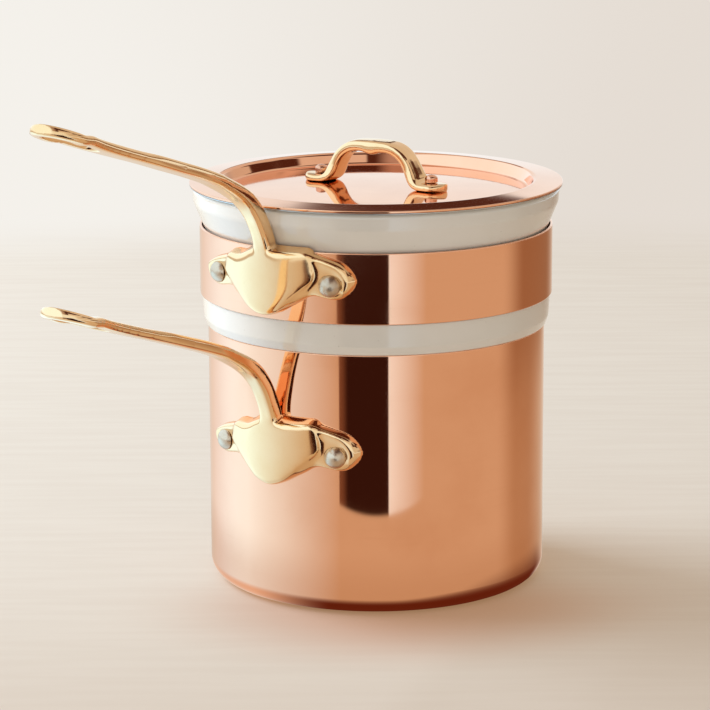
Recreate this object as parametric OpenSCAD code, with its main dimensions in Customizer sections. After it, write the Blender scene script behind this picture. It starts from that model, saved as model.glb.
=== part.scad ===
// Double boiler: a copper saucepan, a porcelain insert held in a copper hoop, and a copper lid.
// The origin is the centre of the pot's base, +Z is up and both long handles point along -X.

/* [Pot] */
// Outer radius of the pot wall
pot_r = 62; // [50:0.5:80]
// Height of the pot from the base to the rim
pot_h = 95.4; // [80:0.1:140]
// Thickness of the copper in wall and base
pot_wall = 1.7; // [1:0.1:3]
// Thickness of the stainless lining of pot and lid
lining_wall = 0.3; // [0.2:0.05:0.6]
// Outside radius where the wall turns into the base
pot_corner_r = 7; // [4:0.5:12]

/* [Insert] */
// Radial clearance between the insert's body and the pot's lining
insert_play = 2.3; // [1.8:0.1:4]
// Thickness of the porcelain
porcelain_wall = 3.8; // [3:0.1:6]
// Depth of the insert below the pot's rim
insert_depth = 47.4; // [30:0.1:60]
// Outside radius of the insert's bottom corner
insert_corner_r = 14; // [6:1:20]
// How far the shoulder stands out past the pot wall
shoulder_out = 2; // [1:0.1:4]
// Height of the shoulder between the pot's rim and the hoop
shoulder_h = 11.5; // [8:0.1:20]
// Depth of the waist under the hoop, measured in from the shoulder
waist_in = 2.2; // [1.8:0.1:3]
// How far the flared rim stands out past the shoulder
rim_out = 3.4; // [2:0.1:6]
// Height of the flared rim above the hoop
rim_h = 14.4; // [10:0.1:25]
// Height over which the porcelain flares out behind the top of the hoop
flare_h = 4.5; // [3:0.5:8]
// How far the porcelain's thickened rim reaches in past its wall
rim_bead = 2; // [1:0.1:3]

/* [Hoop] */
// Height of the copper hoop
band_h = 25.4; // [24:0.1:40]
// Thickness of the copper hoop
band_wall = 0.9; // [0.6:0.1:1.5]
// How far the hoop stands out past the shoulder
band_out = 0.75; // [0.5:0.05:1.5]
// Bare height left above and below the bedding behind the hoop
bedding_inset = 2; // [1:0.1:3]

/* [Lid] */
// Thickness of the lid's copper
lid_wall = 0.9; // [0.6:0.1:1.5]
// How far the lid's edge overhangs the insert's rim
lid_overhang = 1; // [0:0.1:3]
// Width of the lid's sloped flange
flange_w = 10.5; // [9:0.1:14]
// Drop of the flange from its crest to its edge
flange_drop = 0.9; // [0.3:0.1:2]
// Depth of the recess wall's foot below the crest
recess_h = 4.5; // [3.5:0.1:10]
// Rise of the domed centre above the recess wall's foot
dome_h = 1.7; // [0.5:0.1:2.5]
// Inward lean of the recess wall over its depth
recess_lean = 1.9; // [0.5:0.1:4]
// Radius between the recess wall and the centre
recess_fillet = 2; // [1:0.1:2.5]
// Clear height between the lid's flange and the insert's rim
lid_seat_gap = 0.3; // [0.2:0.05:0.6]

/* [Lid handle] */
// Length of the lid handle over both pads
knob_l = 59; // [50:1:66]
// Height of the lid handle above its pads' seats
knob_h = 17.4; // [15:0.1:24]
// Distance from a pad's end to its rivet
knob_rivet_in = 6; // [5:0.5:8]
// Width of a pad
pad_w = 12; // [10:0.5:14]
// Thickness of a pad
pad_t = 3; // [2.5:0.1:4]
// Heading of the lid handle, counted from +X
knob_turn = -86.2; // [-180:0.1:180]

/* [Long handles] */
// Reach of each handle from the wall to its tip
handle_reach = 120.8; // [110:0.1:150]
// Height of the pot handle's tip above its rivets
pot_handle_rise = 70.9; // [55:0.1:85]
// Height of the hoop handle's tip above its rivets
band_handle_rise = 68.5; // [55:0.1:85]
// Height of the pot handle's rivets above the base
pot_handle_z = 58.8; // [45:0.1:70]
// Height of the hoop handle's rivets above the middle of the hoop
band_handle_up = 1.4; // [0:0.1:2]
// Distance between a handle's two rivets, across the bracket
rivet_pitch = 48.6; // [44:0.1:56]
// Height of a bracket above its rivets
bracket_up = 12.6; // [11:0.1:13]
// Depth of a bracket's point below its rivets
bracket_down = 12.4; // [11:0.1:14]
// Height of the sloped edge along a bracket's top
bracket_bevel = 1.5; // [0.5:0.1:3]
// Thickness of the bracket's rivet lobes at their rim
lobe_t = 4; // [3:0.1:5]
// Depth of the dish round each rivet
dish_depth = 1; // [0.5:0.1:1.5]
// Thickness of the bracket's raised centre
boss_t = 6.4; // [5:0.1:8]
// Diameter of a handle's round tip
tip_w = 20.2; // [18:0.1:26]
// Thickness of a handle's grip from its middle to its tip
grip_t = 3.9; // [2.5:0.1:5]
// Width of the hanging hole at its outer end
hang_w = 10; // [6:0.5:12]
// Width of the hanging hole at its inner end
hang_in_w = 5.6; // [4:0.1:6]
// Length of the hanging hole
hang_l = 24; // [18:0.1:26]
// Metal left between the hanging hole and the tip
hang_rim = 3.2; // [2.5:0.1:6]

/* [Rivets] */
// Radius of a rivet's shank
shank_r = 2.4; // [1.5:0.1:3]
// Radius of a long handle's domed rivet head
head_r = 4; // [3:0.1:5]
// Height of a long handle's domed rivet head
head_h = 2.8; // [1.5:0.1:4]
// Radius of the flat head on the inside
tail_r = 4.4; // [3.5:0.1:5]
// Thickness of the flat head on the inside
tail_h = 1.1; // [0.8:0.1:1.5]
// Radius of a lid rivet's shank
knob_shank_r = 1.5; // [1:0.1:1.8]
// Radius of a lid rivet's head
knob_head_r = 2.4; // [2:0.1:3]
// Height of a lid rivet's head
knob_head_h = 2.9; // [1:0.1:4]

/* [Hidden] */
$fn = 96;

// Clearance between pieces that are fixed to each other
fit = 0.03;
// Length that a cutter runs past the face it cuts
past = 1;
// Room left round a rivet's head
rivet_room = 0.2;
// How far a lid rivet's head stands off its pad
rivet_proud = 0.2;

// Heights of the stack, from the base up
seat_z = pot_h;
band_z = seat_z + shoulder_h;
band_top_z = band_z + band_h;
rim_z = band_top_z + rim_h;

// Radii of the stack, from the axis out
lined_r = pot_r - pot_wall - lining_wall;
body_r = lined_r - insert_play;
shoulder_r = pot_r + shoulder_out;
waist_r = shoulder_r - waist_in;
band_r = shoulder_r + band_out;
band_in_r = band_r - band_wall;
rim_r = shoulder_r + rim_out;
rim_in_r = rim_r - porcelain_wall - rim_bead;

// The lid's upper face: its domed centre, recess wall, crest and edge
lid_r = rim_r + lid_overhang;
crest_r = lid_r - flange_w;
sheet_t = lid_wall + lining_wall;
flange_slope = flange_drop / flange_w;
rim_mid_r = (rim_r + rim_in_r) / 2;
lid_edge_z = rim_z + lid_seat_gap + sheet_t - flange_slope * (lid_r - rim_mid_r);
crest_z = lid_edge_z + flange_drop;
disc_z = crest_z - recess_h;
disc_r = crest_r - recess_lean;

// The lid's domed centre, as points [radius, height] from the axis out
dome_rings = 5;
dome = [for (i = [0:dome_rings])
    [disc_r * i / dome_rings, disc_z + dome_h * (1 - pow(max(i, 1) / dome_rings, 2))]];
function dome_z(r) = lookup(r, dome);

// Room between a bracket's raised centre and the rivet heads, and the centre's width
head_room = 0.8;
boss_w = rivet_pitch - 2 * (head_r + head_room);

// Height of the hoop handle's rivets, and the distance between the lid handle's rivets
band_handle_z = band_z + band_h / 2 + band_handle_up;
knob_pitch = knob_l - 2 * knob_rivet_in;

copper = "#c87b5a";
steel = "#a9a9a6";
brass = "#d2a24c";
porcelain = "#ece7dc";
bedding = "#8f8a82";
pewter = "#8d8983";

// Points of a closed or open chain of corners, each [x, y, radius], with its corners rounded
function unit(v) = v / norm(v);
function cross_z(a, b) = a[0] * b[1] - a[1] * b[0];
function corner(a, b, c, r, steps) =
    let (
        u = unit(a - b),
        v = unit(c - b),
        half = acos(max(-1, min(1, u * v))) / 2,
        reach = r / tan(half),
        centre = b + unit(u + v) * (r / sin(half)),
        from = b + u * reach - centre,
        sweep = (180 - 2 * half) * (cross_z(u, v) < 0 ? 1 : -1)
    )
    [for (i = [0:steps])
        let (q = sweep * i / steps)
        centre + [from[0] * cos(q) - from[1] * sin(q), from[0] * sin(q) + from[1] * cos(q)]];
function flat(p) = [p[0], p[1]];
function rounded(pts, steps = 10, closed = true) =
    let (n = len(pts))
    [for (i = [0:n - 1])
        let (
            open_end = !closed && (i == 0 || i == n - 1),
            a = flat(pts[(i + n - 1) % n]),
            b = flat(pts[i]),
            c = flat(pts[(i + 1) % n])
        )
        for (p = open_end || pts[i][2] == 0 ? [b] : corner(a, b, c, pts[i][2], steps)) p];

// A chain moved sideways by d, to its left for a positive d, with its corner radii following
function beside(pts, d) =
    let (n = len(pts))
    [for (i = [0:n - 1])
        let (
            b = flat(pts[i]),
            u = i == 0 ? unit(flat(pts[1]) - b) : unit(b - flat(pts[i - 1])),
            v = i == n - 1 ? u : unit(flat(pts[i + 1]) - b),
            nu = [-u[1], u[0]],
            nv = [-v[1], v[0]],
            m = (nu + nv) / (1 + nu * nv),
            turn = cross_z(u, v)
        )
        [b[0] + m[0] * d, b[1] + m[1] * d, pts[i][2] == 0 ? 0 : pts[i][2] - d * sign(turn)]];
function reversed(v) = [for (i = [len(v) - 1:-1:0]) v[i]];

// A smooth curve through the rows of keys, cut into equal steps between each pair
function blend(a, b, c, d, t) =
    0.5 * (2 * b + (c - a) * t + (2 * a - 5 * b + 4 * c - d) * t * t + (3 * b - a - 3 * c + d) * t * t * t);
function through(keys, steps, closed = false) =
    let (n = len(keys), last = closed ? n - 1 : n - 2)
    [for (i = [0:last], s = [0:steps - (closed || i < last ? 1 : 0)])
        let (
            a = keys[closed ? (i + n - 1) % n : max(i - 1, 0)],
            b = keys[i],
            c = keys[(i + 1) % n],
            d = keys[closed ? (i + 2) % n : min(i + 2, n - 1)]
        )
        blend(a, b, c, d, s / steps)];

// A cast bar swept in the XZ plane: rows of [x, z, width, thickness, squareness of the section]
section_sides = 24;
function squared(v, power) = sign(v) * pow(abs(v), 2 / power);
function heading(rows, i) =
    let (a = rows[max(i - 1, 0)], b = rows[min(i + 1, len(rows) - 1)])
    unit([b[0] - a[0], b[1] - a[1]]);
function bar_ring(row, dir) =
    [for (k = [0:section_sides - 1])
        let (
            q = 360 * (k + 0.5) / section_sides,
            across = squared(cos(q), row[4]) * row[2] / 2,
            up = squared(sin(q), row[4]) * row[3] / 2
        )
        [row[0] - dir[1] * up, across, row[1] + dir[0] * up]];
module cast_bar(rows) {
    n = len(rows);
    m = section_sides;
    points = [for (i = [0:n - 1]) each bar_ring(rows[i], heading(rows, i))];
    sides = [for (i = [0:n - 2], k = [0:m - 1])
        each [
            [i * m + k, (i + 1) * m + k, i * m + (k + 1) % m],
            [i * m + (k + 1) % m, (i + 1) * m + k, (i + 1) * m + (k + 1) % m]
        ]];
    start = [for (k = [0:m - 1]) k];
    finish = [for (k = [m - 1:-1:0]) (n - 1) * m + k];
    polyhedron(points, concat([start], sides, [finish]), convexity = 6);
}

// A bore along the radius at angle a, through everything between two radii
module radial_bore(a, z, r, from_r, to_r) {
    rotate([0, 0, a])
        translate([from_r, 0, z])
            rotate([0, 90, 0])
                cylinder(r = r, h = to_r - from_r);
}

// The rivets sit in the dishes either side of a handle, at equal angles
seat_t = lobe_t - dish_depth;
function rivet_angle(wall_r) = asin(rivet_pitch / 2 / (wall_r + seat_t));
module each_rivet(wall_r) {
    for (side = [-1, 1])
        rotate([0, 0, 180 + side * rivet_angle(wall_r)]) children();
}

// A domed rivet along +X from the flat inner head at in_r to the lobe's face at out_r
module rivet(in_r, out_r) {
    dome_r = (head_r * head_r + head_h * head_h) / (2 * head_h);
    dome_mid = head_h - dome_r;
    dome_turn = asin(head_r / dome_r);
    rotate([0, 90, 0])
        rotate_extrude()
            polygon(concat(
                [[0, in_r - tail_h], [tail_r, in_r - tail_h], [tail_r, in_r], [shank_r, in_r]],
                [[shank_r, out_r]],
                [for (i = [0:10])
                    let (q = dome_turn * (1 - i / 10))
                    [i == 10 ? 0 : dome_r * sin(q), out_r + dome_mid + dome_r * cos(q)]]
            ));
}
function inner_seat(r) = sqrt(r * r - tail_r * tail_r) - fit;

// Pot
module pot_shell() {
    outer = [[0, 0, 0], [pot_r, 0, pot_corner_r], [pot_r, pot_h, 0]];
    inner = beside(outer, pot_wall);
    color(copper)
        difference() {
            rotate_extrude()
                polygon(concat(
                    rounded(outer, closed = false),
                    [[pot_r - pot_wall, pot_h]],
                    reversed(rounded([for (p = inner) [p[0], min(p[1], pot_h), p[2]]], closed = false))
                ));
            each_rivet(pot_r)
                translate([pot_r - pot_wall - past, 0, pot_handle_z])
                    rotate([0, 90, 0])
                        cylinder(r = shank_r + fit, h = pot_wall + 2 * past);
        }
}
module pot_lining() {
    outer = [[0, pot_wall + fit, 0], [pot_r - pot_wall - fit, pot_wall + fit, pot_corner_r - pot_wall],
        [pot_r - pot_wall - fit, pot_h, 0]];
    inner = beside(outer, lining_wall - fit);
    color(steel)
        difference() {
            rotate_extrude()
                polygon(concat(
                    rounded(outer, closed = false),
                    reversed(rounded([for (p = inner) [p[0], min(p[1], pot_h), p[2]]], closed = false))
                ));
            each_rivet(pot_r)
                translate([lined_r - past, 0, pot_handle_z])
                    rotate([0, 90, 0])
                        cylinder(r = shank_r + fit, h = lining_wall + 2 * past);
        }
}
module pot_rivet(side) {
    color(pewter)
        rotate([0, 0, 180 + side * rivet_angle(pot_r)])
            translate([0, 0, pot_handle_z])
                rivet(inner_seat(lined_r), pot_r + seat_t + fit);
}

// Cast handle with its saddle bracket, drawn along +X round a wall of radius wall_r.
// Half outlines across the wall, from the top centre round one side: the thin plate
// that carries the rivets, and the thick centre with its point.
function plate_half() =
    let (x = rivet_pitch / 2)
    [
        [0, bracket_up], [12, bracket_up - 0.4], [x - 3, bracket_up - 2.6],
        [x + 4, 7.2], [x + 7.3, 1], [x + 2.5, -4.9], [17.5, -4.1], [10.8, 4.8 - bracket_down]
    ];
function centre_half() =
    let (x = boss_w / 2)
    [[x - 2, bracket_up + 0.4, 3], [x, 2, 4], [x - 6.2, -3.4, 7], [6.5, 2.4 - bracket_down, 3]];
function mirrored(pts) = [for (p = reversed(pts)) concat([-p[0]], [for (k = [1:len(p) - 1]) p[k]])];
function plate_outline() =
    let (half = plate_half())
    through(concat(half, [[0, -bracket_down]], mirrored([for (i = [1:len(half) - 1]) half[i]])), 5, true);
function centre_outline() =
    rounded(concat(centre_half(), [[0, -bracket_down, 6]], mirrored(centre_half())), 5);
// A dish in the plate on one side, open at the plate's lower edge
function dish_outline() =
    let (x = rivet_pitch / 2)
    rounded([
        [x - 9, 8.4, 0], [x - 3, 7.8, 3], [x + 2.6, 5.4, 2.5], [x + 4.8, 1.6, 2], [x + 4.6, -2.6, 3],
        [x + 6.5, -9, 0], [x - 9, -9, 0]
    ], 5);
// The thick centre's face is bowed across the wall with this radius
centre_bow = 140;
bracket_box = 80;
module across_wall(outline, from_r, to_r) {
    translate([from_r, 0, 0])
        rotate([90, 0, 90])
            linear_extrude(height = to_r - from_r, convexity = 6)
                polygon(outline);
}
module bracket(wall_r) {
    face_r = wall_r + boss_t;
    inside_r = wall_r * 0.7;
    difference() {
        union() {
            intersection() {
                across_wall(plate_outline(), inside_r, face_r + past);
                difference() {
                    cylinder(r = wall_r + lobe_t, h = bracket_box, center = true);
                    for (side = [-1, 1])
                        difference() {
                            across_wall([for (p = dish_outline()) [side * p[0], p[1]]], inside_r, face_r + past);
                            cylinder(r = wall_r + seat_t, h = bracket_box, center = true);
                        }
                }
            }
            intersection() {
                across_wall(centre_outline(), inside_r, face_r + past);
                translate([face_r - centre_bow, 0, 0])
                    cylinder(r = centre_bow, h = bracket_box, center = true);
            }
        }
        cylinder(r = wall_r + fit, h = bracket_box, center = true);
        // The top edge slopes down and out
        translate([0, 0, bracket_up])
            rotate_extrude()
                polygon([[wall_r, 0.6], [face_r, -bracket_bevel], [face_r + 9, -bracket_bevel - 5.6],
                    [face_r + 9, bracket_up], [wall_r, bracket_up]]);
    }
}

// Grip: rows of its centreline out from the wall and up from the rivets, with the width,
// thickness and squareness of its section. They are drawn at this reach and rise.
drawn_reach = 120.8;
drawn_rise = 68.5;
// The tip levels off by this much over its round end
tip_drop = 3.7;
tip_square = 5;
function grip_keys(out, up) = [
    [3, -3, 13, 4.6, 3],
    [3.4, 4, 11, 6, 3.6],
    [3.5, 13.8, 7, 6.4, 4],
    [7.5, 22.4 * up, 6.6, 6.2, 4],
    [11.8, 28 * up, 7.1, 6.1, 3.8],
    [16.4 * out, 31.9 * up, 8.1, 5.7, 3.6],
    [21.8 * out, 35.1 * up, 9.2, 5.1, 3.6],
    [28.6 * out, 38.4 * up, 10.1, 4.6, 3.8],
    [34.4 * out, 41 * up, 11, grip_t + 0.5, 4],
    [45 * out, 44.7 * up, 11.6, grip_t + 0.4, 4.6],
    [55.5 * out, 48 * up, 12, grip_t + 0.3, tip_square],
    [66.2 * out, 51.4 * up, 12.3, grip_t + 0.2, tip_square],
    [76.8 * out, 54.5 * up, 12.7, grip_t, tip_square],
    [87 * out, 57.6 * up, 13.7, grip_t, tip_square],
    [96.8 * out, 60.7 * up, tip_w * 0.77, grip_t, tip_square],
    [104.3 * out, 63.3 * up, tip_w * 0.91, grip_t, tip_square]
];
function tip_rows(up) =
    let (r = tip_w / 2)
    [for (q = [-10:10:80])
        [handle_reach - r + r * sin(q), (drawn_rise - tip_drop + tip_drop * sin(q)) * up,
            tip_w * cos(q), grip_t, tip_square]];
module grip(wall_r, rise) {
    up = rise / drawn_rise;
    out = handle_reach / drawn_reach;
    difference() {
        translate([wall_r, 0, 0])
            cast_bar(concat(through(grip_keys(out, up), 5), tip_rows(up)));
        cylinder(r = wall_r + fit, h = bracket_box, center = true);
        hang_slot(wall_r + handle_reach - hang_rim, rise);
    }
}
module hang_slot(end_r, rise) {
    deep = 60;
    translate([0, 0, rise - deep / 2])
        linear_extrude(height = deep)
            hull() {
                translate([end_r - hang_w / 2, 0]) circle(r = hang_w / 2);
                translate([end_r - hang_l + hang_in_w / 2, 0]) circle(r = hang_in_w / 2);
            }
}
module long_handle(wall_r, rise) {
    color(brass)
        difference() {
            union() {
                bracket(wall_r);
                grip(wall_r, rise);
            }
            for (side = [-1, 1])
                radial_bore(side * rivet_angle(wall_r), 0, shank_r + fit, wall_r - past, wall_r + lobe_t + past);
        }
}
module pot_handle() {
    translate([0, 0, pot_handle_z])
        rotate([0, 0, 180])
            long_handle(pot_r, pot_handle_rise);
}
module band_handle() {
    translate([0, 0, band_handle_z])
        rotate([0, 0, 180])
            long_handle(band_r, band_handle_rise);
}

// Insert: glazed porcelain, seated by its shoulder on the pot's rim
module insert() {
    bottom_z = seat_z - insert_depth;
    in_r = body_r - porcelain_wall;
    waist_in_r = waist_r - porcelain_wall;
    color(porcelain)
        rotate_extrude()
            polygon(rounded([
                [0, bottom_z, 0],
                [body_r - 1.5, bottom_z, insert_corner_r],
                [body_r, seat_z, 0.6],
                [pot_r + 0.5, seat_z, 1],
                [shoulder_r - 0.4, seat_z + 3.2, 3],
                [shoulder_r, band_z, 0.5],
                [waist_r, band_z, 0.6],
                [waist_r, band_top_z - flare_h, 4],
                [shoulder_r - 0.9, band_top_z - 0.6, 8],
                [rim_r - 0.4, band_top_z + 8.6, 6],
                [rim_r, rim_z, 1.8],
                [rim_in_r, rim_z, 1.8],
                [rim_in_r - 0.6, band_top_z + 5, 6],
                [waist_in_r, band_top_z - 2.5, 6],
                [waist_in_r, band_z - 3, 6],
                [in_r, seat_z - 2, 6],
                [in_r - 1.5, bottom_z + porcelain_wall, insert_corner_r - porcelain_wall],
                [0, bottom_z + porcelain_wall, 0]
            ]));
}

// Hoop round the waist, its bedding and its rivets
module band() {
    color(copper)
        difference() {
            translate([0, 0, band_z + fit])
                difference() {
                    cylinder(r = band_r, h = band_h - fit);
                    translate([0, 0, -past]) cylinder(r = band_in_r, h = band_h + 2 * past);
                }
            each_rivet(band_r)
                translate([band_in_r - past, 0, band_handle_z])
                    rotate([0, 90, 0])
                        cylinder(r = shank_r + fit, h = band_wall + 2 * past);
        }
}
module band_bedding() {
    // The bedding stops where the insert's flare begins
    bedding_z = band_z + bedding_inset;
    bedding_h = band_h - flare_h - 2 * bedding_inset;
    color(bedding)
        difference() {
            translate([0, 0, bedding_z]) cylinder(r = band_in_r - fit, h = bedding_h);
            translate([0, 0, bedding_z - past]) cylinder(r = waist_r + fit, h = bedding_h + 2 * past);
            each_rivet(band_r)
                translate([waist_r - past, 0, band_handle_z])
                    rotate([0, 90, 0])
                        cylinder(r = tail_r + rivet_room, h = waist_in + 2 * past);
        }
}
module band_rivet(side) {
    color(pewter)
        rotate([0, 0, 180 + side * rivet_angle(band_r)])
            translate([0, 0, band_handle_z])
                rivet(inner_seat(band_in_r), band_r + seat_t + fit);
}

// Lid: one drawn sheet with its lining, seated by the flange on the insert's rim
function lid_face() = concat(
    [for (i = [0:dome_rings]) concat(dome[i], [i == dome_rings ? recess_fillet : 0])],
    [[crest_r, crest_z, 1.6], [lid_r, lid_edge_z, 0]]
);
module lid_layer(above, below) {
    face = lid_face();
    rotate_extrude()
        polygon(concat(
            rounded(beside(face, -above), closed = false),
            reversed(rounded(beside(face, -below), closed = false))
        ));
}
// Seats of the lid handle's pads and of its rivets' inner heads, and bores for its rivets
pad_z = dome_z(knob_l / 2);
under_z = dome_z(knob_pitch / 2 + knob_head_r) - sheet_t;
module knob_bores() {
    rotate([0, 0, knob_turn])
        for (side = [-1, 1])
            translate([side * knob_pitch / 2, 0, under_z - past])
                cylinder(r = knob_shank_r + fit, h = sheet_t + dome_h + pad_t + 2 * past);
}
module lid_shell() {
    color(copper)
        difference() {
            lid_layer(0, lid_wall);
            knob_bores();
        }
}
module lid_lining() {
    color(steel)
        difference() {
            lid_layer(lid_wall + fit, sheet_t);
            knob_bores();
        }
}

// Lid handle: an arch cast with two pads, its underside shaped for the fingers
pad_r = pad_w / 2;
pad_square = 3;
// Height cleared above each pad for the rivet's head
head_clear = 6;
function arch_keys(l, h) = [
    [l - pad_r, pad_t / 2, pad_w, pad_t, pad_square],
    [l - 9, pad_t / 2 + 0.2, pad_w, pad_t + 0.2, pad_square],
    [l - 11.2, pad_t / 2 + 1.3, 11.2, 4.2, pad_square],
    [l - 12.6, 4.9, 10.2, 4.6, 3.2],
    [l - 14, 7.8, 9.4, 4.3, 3.4],
    [l - 16, h - 6.4, 9.2, 4.2, 3.4],
    [l - 18.9, h - 4, 9.4, 4.2, 3.4],
    [7.4, h - 2.8, 9.8, 4.2, 3.4],
    [3.6, h - 2.6, 10.2, 4.4, 3.4],
    [0, h - 3, 10.4, 5.4, 3.4]
];
function flipped(rows) = [for (i = [len(rows) - 2:-1:0]) concat([-rows[i][0]], [for (k = [1:4]) rows[i][k]])];
function pad_rows(l, end) =
    [for (q = end > 0 ? [80:-10:10] : [10:10:80])
        [end * (l - pad_r + pad_r * sin(q)), pad_t / 2, pad_w * cos(q), pad_t, pad_square]];
module lid_handle() {
    l = knob_l / 2;
    half = arch_keys(l, knob_h);
    rows = concat(pad_rows(l, 1), through(concat(half, flipped(half)), 4), pad_rows(l, -1));
    color(brass)
        difference() {
            rotate([0, 0, knob_turn])
                difference() {
                    translate([0, 0, pad_z + fit]) cast_bar(reversed(rows));
                    for (side = [-1, 1])
                        translate([side * knob_pitch / 2, 0, pad_z + pad_t + rivet_proud])
                            cylinder(r = knob_head_r + rivet_room, h = head_clear);
                }
            // The pads' undersides follow the dome
            rotate_extrude()
                polygon(concat(
                    [[0, disc_z - past]],
                    [for (p = dome) [p[0], p[1] + fit]],
                    [[disc_r, disc_z - past]]
                ));
            knob_bores();
        }
}
module lid_rivet(side) {
    top = pad_z + pad_t + rivet_proud + fit;
    under = under_z - fit;
    color(copper)
        rotate([0, 0, knob_turn])
            translate([side * knob_pitch / 2, 0, 0])
                rotate_extrude()
                    polygon(concat(
                        [[0, under - tail_h], [knob_head_r, under - tail_h], [knob_head_r, under]],
                        [[knob_shank_r, under], [knob_shank_r, top], [knob_head_r, top]],
                        [for (q = [0:10:90])
                            [q == 90 ? 0 : knob_head_r * cos(q), top + knob_head_h * (0.5 + 0.5 * sin(q))]]
                    ));
}

module pot_rivet_left() { pot_rivet(-1); }
module pot_rivet_right() { pot_rivet(1); }
module band_rivet_left() { band_rivet(-1); }
module band_rivet_right() { band_rivet(1); }
module lid_rivet_left() { lid_rivet(-1); }
module lid_rivet_right() { lid_rivet(1); }

pot_shell();
pot_lining();
pot_handle();
pot_rivet_left();
pot_rivet_right();
insert();
band();
band_bedding();
band_handle();
band_rivet_left();
band_rivet_right();
lid_shell();
lid_lining();
lid_handle();
lid_rivet_left();
lid_rivet_right();
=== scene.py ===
"""Double boiler: the looks of a copper saucepan, its porcelain insert, its lid and its handles.

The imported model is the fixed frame. Each sub-assembly is a class that takes its sizes from that
frame, builds its pieces and dresses them. All lengths in the classes are metres.
"""
import logging
import math
from dataclasses import dataclass, field
from enum import Enum
from typing import Any, Sequence

import bpy
import numpy as np
from mathutils import Matrix, Vector, noise


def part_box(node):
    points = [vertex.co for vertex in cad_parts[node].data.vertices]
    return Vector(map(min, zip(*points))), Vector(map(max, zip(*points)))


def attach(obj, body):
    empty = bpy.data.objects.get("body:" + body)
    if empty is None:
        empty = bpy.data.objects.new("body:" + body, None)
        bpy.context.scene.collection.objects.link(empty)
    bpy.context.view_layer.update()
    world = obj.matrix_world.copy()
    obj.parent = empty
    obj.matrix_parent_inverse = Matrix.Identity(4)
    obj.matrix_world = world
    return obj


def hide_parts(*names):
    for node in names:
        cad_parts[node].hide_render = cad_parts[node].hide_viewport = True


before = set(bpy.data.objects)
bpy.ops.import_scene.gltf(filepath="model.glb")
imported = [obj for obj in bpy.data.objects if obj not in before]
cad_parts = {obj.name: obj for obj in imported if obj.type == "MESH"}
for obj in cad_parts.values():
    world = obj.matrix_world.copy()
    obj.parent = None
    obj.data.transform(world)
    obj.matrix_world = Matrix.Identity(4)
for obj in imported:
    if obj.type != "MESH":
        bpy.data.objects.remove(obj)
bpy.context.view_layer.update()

MM = 0.001
LOG = logging.getLogger("double_boiler")

Rgb = tuple[float, float, float]
Point = tuple[float, float]
Corner = tuple[float, float, float]
Span = tuple[float, float]


class Wire:
    """An output socket whose operators add Math nodes to its shader."""

    def __init__(self, shader: "Shader", socket: bpy.types.NodeSocket) -> None:
        """Wrap a socket.

        Args:
            shader: the shader that the socket's node belongs to.
            socket: the output socket.
        """
        self.shader = shader
        self.socket = socket

    def maths(self, operation: str, *values: Any) -> "Wire":
        """Add a Math node.

        Args:
            operation: the node's operation, such as "MULTIPLY".
            values: what goes into its sockets, in order.

        Returns:
            The node's output.
        """
        sockets = dict(enumerate(values))
        return self.shader.node("ShaderNodeMath", {"operation": operation}, sockets).out(0)

    def __add__(self, other: Any) -> "Wire":
        """Sum."""
        return self.maths("ADD", self, other)

    def __radd__(self, other: Any) -> "Wire":
        """Sum with a number on the left."""
        return self.maths("ADD", other, self)

    def __sub__(self, other: Any) -> "Wire":
        """Difference."""
        return self.maths("SUBTRACT", self, other)

    def __rsub__(self, other: Any) -> "Wire":
        """Difference from a number on the left."""
        return self.maths("SUBTRACT", other, self)

    def __mul__(self, other: Any) -> "Wire":
        """Product."""
        return self.maths("MULTIPLY", self, other)

    def __rmul__(self, other: Any) -> "Wire":
        """Product with a number on the left."""
        return self.maths("MULTIPLY", other, self)

    def __truediv__(self, other: Any) -> "Wire":
        """Quotient."""
        return self.maths("DIVIDE", self, other)

    def __rtruediv__(self, other: Any) -> "Wire":
        """Quotient of a number on the left."""
        return self.maths("DIVIDE", other, self)

    def __pow__(self, other: Any) -> "Wire":
        """Power."""
        return self.maths("POWER", self, other)

    def __rpow__(self, other: Any) -> "Wire":
        """Power of a number on the left."""
        return self.maths("POWER", other, self)

    def ease(self, low: float, high: float) -> "Wire":
        """A smooth step from 0 at low to 1 at high.

        Args:
            low: the value that gives 0.
            high: the value that gives 1, which may be the smaller one.

        Returns:
            The eased value.
        """
        return self.step("SMOOTHSTEP", low, high)

    def ramp(self, low: float, high: float) -> "Wire":
        """A straight step from 0 at low to 1 at high.

        Args:
            low: the value that gives 0.
            high: the value that gives 1, which may be the smaller one.

        Returns:
            The value, held between 0 and 1.
        """
        return self.step("LINEAR", low, high)

    def step(self, kind: str, low: float, high: float) -> "Wire":
        """Add a Map Range node.

        Args:
            kind: its interpolation.
            low: the value that gives 0.
            high: the value that gives 1.

        Returns:
            The node's output.
        """
        sockets = {"Value": self, "From Min": low, "From Max": high}
        settings = {"interpolation_type": kind}
        return self.shader.node("ShaderNodeMapRange", settings, sockets).out("Result")


class Placed:
    """A node that was added to a shader."""

    def __init__(self, shader: "Shader", node: bpy.types.Node) -> None:
        """Wrap a node.

        Args:
            shader: the shader that the node belongs to.
            node: the node.
        """
        self.shader = shader
        self.node = node

    def out(self, name: str | int) -> Wire:
        """One of the node's outputs by its name or place."""
        return Wire(self.shader, self.node.outputs[name])


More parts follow.
